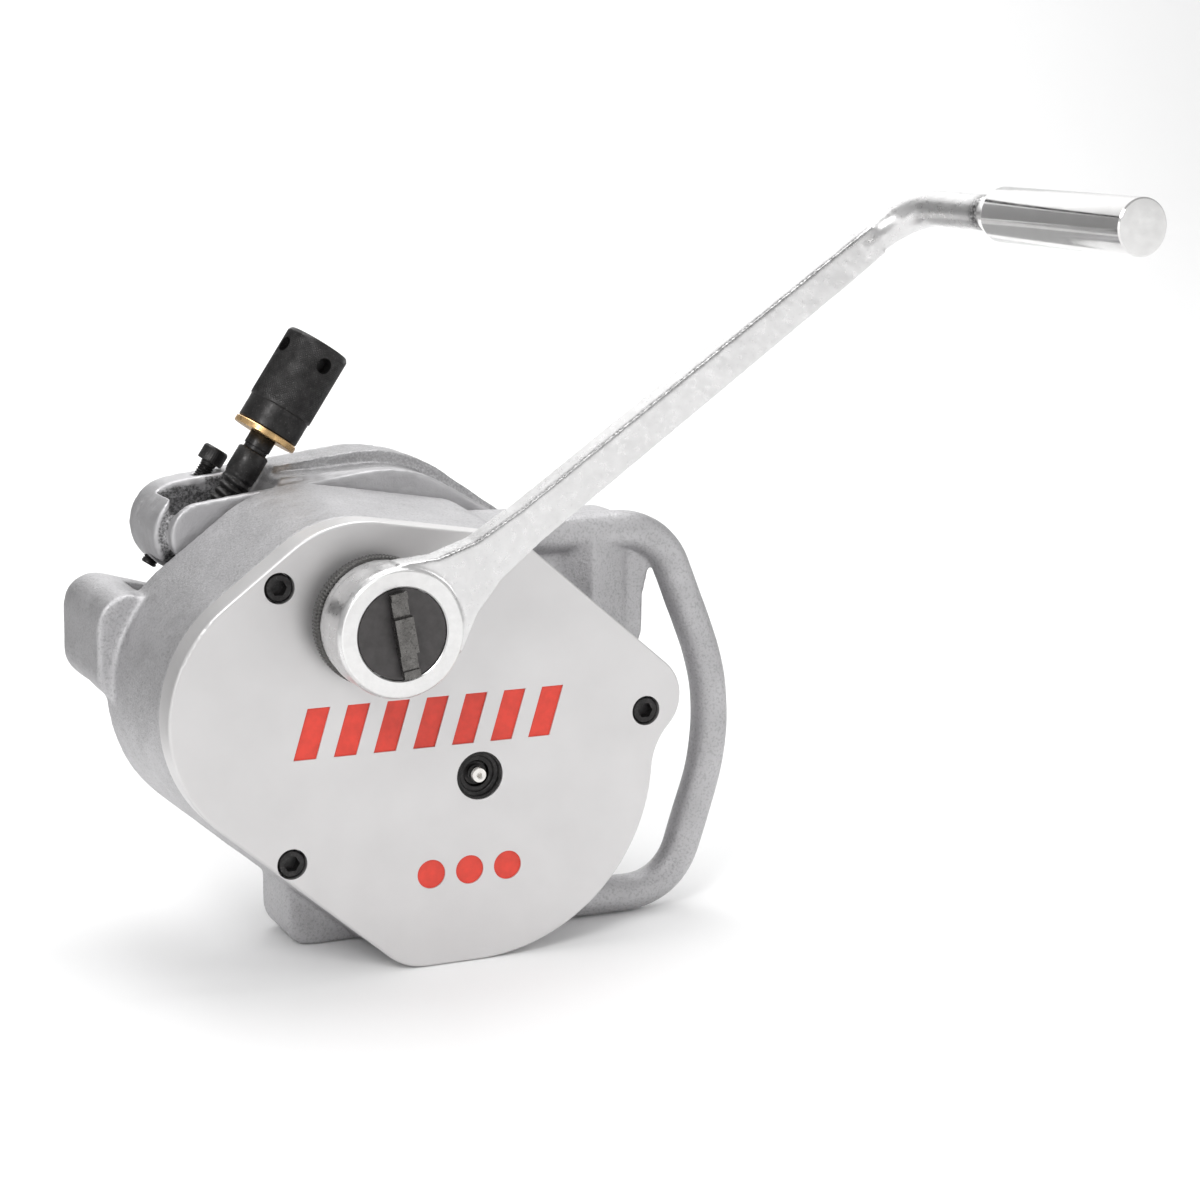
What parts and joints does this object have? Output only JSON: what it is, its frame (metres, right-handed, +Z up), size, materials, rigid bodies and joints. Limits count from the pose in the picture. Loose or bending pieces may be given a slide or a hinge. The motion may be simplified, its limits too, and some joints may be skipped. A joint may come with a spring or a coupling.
{
  "type": "manual pipe roll groover",
  "caption": "Hand-driven roll groover: gear case with ratchet wrench, drive roll, pivoted arm with groove roll, feed screw and D-shaped carrying handle.",
  "frame": {"origin": "on the rest plane, straight below the drive axis, in the mid-plane of the carrying handle", "axes": "+Z up from the rest plane, +Y along the drive axis towards the pipe, +X towards the carrying handle"},
  "size_m": [0.2939, 0.294, 0.2842],
  "materials": {
    "cast_aluminium": "sandblasted casting",
    "machined_aluminium": "light satin, machined",
    "black_oxide": "black oxide",
    "steel": "ground",
    "hard_roll_steel": "hardened, knurled",
    "forged_chrome": "satin chrome over a forging",
    "polished_chrome": "polished",
    "dark_disc": "dark satin",
    "selector_steel": "bead blasted",
    "bronze": "sintered bronze",
    "brass": "turned brass",
    "nickel": "plated",
    "red_paint": "satin enamel fill",
    "seal_rubber": "nitrile"
  },
  "bodies": {
    "housing": {"gear_case": "cast_aluminium", "front_cover": "machined_aluminium", "cover_screws": "black_oxide", "cover_dowels": "steel", "cover_marks": "red_paint", "drive_front_bush": "bronze", "drive_bearing_outer": "steel", "drive_bearing_balls": "steel", "drive_shaft_seal": "seal_rubber", "input_front_bush": "bronze", "input_rear_bush": "bronze", "intermediate_bushes": "bronze", "arm_pivot_pin": "steel", "pivot_pin_clip": "black_oxide"},
    "drive": {"main_shaft": "black_oxide", "bull_gear": "steel", "bull_gear_key": "steel", "gear_spacer": "steel", "drive_bearing_inner": "steel", "drive_roll": "hard_roll_steel", "roll_key": "steel", "roll_washer": "steel", "roll_nut": "steel", "drive_grease_fitting": "nickel"},
    "intermediate": {"intermediate_shaft": "steel", "intermediate_gear": "steel", "intermediate_key": "steel"},
    "input": {"input_shaft": "steel", "ratchet_wheel": "steel", "knurled_ring": "black_oxide", "ratchet_face_disc": "dark_disc"},
    "selector": {"selector_lever": "selector_steel"},
    "wrench": {"ratchet_body": "forged_chrome", "head_rear_plate": "steel", "pawl_pin": "steel", "grip_snap_ring": "selector_steel"},
    "pawl": {"pawl": "steel"},
    "grip": {"grip_sleeve": "polished_chrome"},
    "arm": {"arm": "cast_aluminium", "arm_bush": "bronze", "groove_roll_shaft": "steel", "roll_set_screw": "black_oxide", "feed_nut_pins": "steel"},
    "groove_roll": {"groove_roll": "hard_roll_steel", "roll_bearing": "steel"},
    "stop": {"stop_screw": "black_oxide"},
    "nut": {"feed_nut": "steel"},
    "anchor": {"feed_anchor": "steel"},
    "feed": {"feed_screw": "black_oxide", "feed_knob": "black_oxide", "feed_washer": "brass", "knob_pin": "black_oxide", "anchor_nut": "black_oxide"}
  },
  "joints": [
    {"name": "input_spin", "type": "hinge", "parent": "housing", "child": "input", "pos_m": [-0.0422, -0.03, 0.1323], "axis": [0, 1, 0], "continuous": true},
    {"name": "intermediate_spin", "type": "hinge", "parent": "housing", "child": "intermediate", "pos_m": [-0.06968, 0.005, 0.09417], "axis": [0, 1, 0], "continuous": true},
    {"name": "drive_spin", "type": "hinge", "parent": "housing", "child": "drive", "pos_m": [0, 0.03, 0.07], "axis": [0, 1, 0], "continuous": true},
    {"name": "ratchet_swing", "type": "hinge", "parent": "input", "child": "wrench", "pos_m": [-0.0422, -0.055, 0.1323], "axis": [0, 1, 0], "continuous": true},
    {"name": "selector_turn", "type": "hinge", "parent": "input", "child": "selector", "pos_m": [-0.0422, -0.067, 0.1323], "axis": [0, 1, 0], "range_deg": [-20, 20]},
    {"name": "pawl_lift", "type": "hinge", "parent": "wrench", "child": "pawl", "pos_m": [-0.02014, -0.059, 0.14788], "axis": [0, 1, 0], "range_deg": [-4, 4]},
    {"name": "grip_spin", "type": "hinge", "parent": "wrench", "child": "grip", "pos_m": [0.1593, -0.155, 0.2746], "axis": [0, 1, 0], "continuous": true},
    {"name": "anchor_tilt", "type": "hinge", "parent": "housing", "child": "anchor", "pos_m": [-0.10393, 0.054, 0.10699], "axis": [0, 1, 0], "range_deg": [-3.17, 1.59]},
    {"name": "feed_turn", "type": "hinge", "parent": "anchor", "child": "feed", "pos_m": [-0.0655, 0.054, 0.1655], "axis": [0.549, 0, 0.8358], "range_deg": [-450, 900]},
    {"name": "arm_pivot", "type": "hinge", "parent": "housing", "child": "arm", "pos_m": [0.066, 0.054, 0.118], "axis": [0, 1, 0], "range_deg": [-1.59, 3.18]},
    {"name": "nut_tilt", "type": "hinge", "parent": "arm", "child": "nut", "pos_m": [-0.07758, 0.054, 0.14711], "axis": [0, 1, 0], "range_deg": [-6.36, 3.18]},
    {"name": "groove_roll_spin", "type": "hinge", "parent": "arm", "child": "groove_roll", "pos_m": [0, 0.06, 0.124], "axis": [0, 1, 0], "continuous": true},
    {"name": "stop_adjust", "type": "slide", "parent": "arm", "child": "stop", "axis": [0.549, 0, 0.8358], "range_m": [0, 0.008]}
  ],
  "couplings": [
    {"joint": "intermediate_spin", "follows": "input_spin", "ratio": -0.34286},
    {"joint": "drive_spin", "follows": "input_spin", "ratio": 0.096894},
    {"joint": "anchor_tilt", "follows": "feed_turn", "ratio": -0.0034557},
    {"joint": "arm_pivot", "follows": "feed_turn", "ratio": 0.003468},
    {"joint": "nut_tilt", "follows": "feed_turn", "ratio": -0.0069237}
  ]
}
